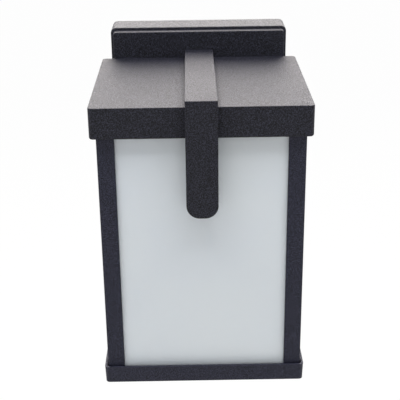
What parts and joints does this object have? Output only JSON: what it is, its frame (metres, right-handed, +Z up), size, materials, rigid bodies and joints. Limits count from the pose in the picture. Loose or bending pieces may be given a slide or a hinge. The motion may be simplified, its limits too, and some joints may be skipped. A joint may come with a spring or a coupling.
{
  "type": "outdoor wall lantern",
  "caption": "Box-shaped outdoor wall lantern with a flat roof under a bent strap, frosted panes, a drop-off tray for changing the lamp and a canopy for an outlet box.",
  "frame": {"origin": "on the wall plane, midway between the two outlet-box slots, in the middle of the canopy", "axes": "+Z up, +Y into the wall, +X to the right as seen from in front"},
  "size_m": [0.165, 0.1868, 0.268],
  "materials": {
    "black_cast": "die-cast, black fine-texture powder coat",
    "black_sheet": "folded sheet steel, black fine-texture powder coat",
    "black_hardware": "steel, black oxide",
    "foam": "closed-cell foam strip",
    "zinc_steel": "bright zinc plate",
    "spring_steel": "plain spring strip",
    "green_steel": "green dyed steel",
    "frosted_glass": "acid-etched, white",
    "porcelain": "glazed porcelain",
    "shell_aluminium": "drawn, bright",
    "brass": "stamped, bright",
    "lamp_glass": "inside-frosted",
    "black_vitrite": "fused black glass"
  },
  "bodies": {
    "fixture": {"backplate": "black_cast", "roof": "black_cast", "arm_strap": "black_cast", "front_left_post": "black_sheet", "front_right_post": "black_sheet", "rear_left_post": "black_sheet", "rear_right_post": "black_sheet", "bottom_frame": "black_sheet", "rear_panel": "black_sheet", "cage_rivets": "black_sheet", "canopy_screws": "black_hardware", "wall_gasket": "foam", "mounting_crossbar": "zinc_steel", "top_pan": "zinc_steel", "strap_screws": "zinc_steel", "roof_screws": "zinc_steel", "pan_screws": "zinc_steel", "lampholder_screws": "zinc_steel", "tray_studs": "zinc_steel", "nipple_nuts": "zinc_steel", "wire_nipple": "zinc_steel", "glass_clips": "spring_steel", "ground_screw": "green_steel", "front_glass": "frosted_glass", "left_glass": "frosted_glass", "right_glass": "frosted_glass", "lampholder": "porcelain", "screw_shell": "shell_aluminium", "centre_contact": "brass"},
    "tray": {"tray": "black_cast"},
    "left_nut": {"left_thumb_nut": "black_hardware"},
    "right_nut": {"right_thumb_nut": "black_hardware"},
    "lamp_tip": {"lamp_contact": "brass"},
    "lamp": {"lamp_globe": "lamp_glass", "lamp_cap": "shell_aluminium", "lamp_insulator": "black_vitrite"}
  },
  "joints": [
    {"name": "tray_drop", "type": "slide", "parent": "fixture", "child": "tray", "axis": [0, 0, -1], "range_m": [0, 0.06]},
    {"name": "left_nut_turn", "type": "hinge", "parent": "tray", "child": "left_nut", "pos_m": [-0.0682, -0.1084, -0.172], "axis": [0, 0, -1], "continuous": true},
    {"name": "right_nut_turn", "type": "hinge", "parent": "tray", "child": "right_nut", "pos_m": [0.0682, -0.1084, -0.172], "axis": [0, 0, -1], "continuous": true},
    {"name": "lamp_withdraw", "type": "slide", "parent": "fixture", "child": "lamp_tip", "axis": [0, 0, -1], "range_m": [0, 0.026]},
    {"name": "lamp_turn", "type": "hinge", "parent": "lamp_tip", "child": "lamp", "pos_m": [0, -0.1084, 0.02], "axis": [0, 0, -1], "range_deg": [0, 2570]}
  ],
  "couplings": [
    {"joint": "lamp_withdraw", "follows": "lamp_turn", "m_per_rad": 0.0005775}
  ]
}
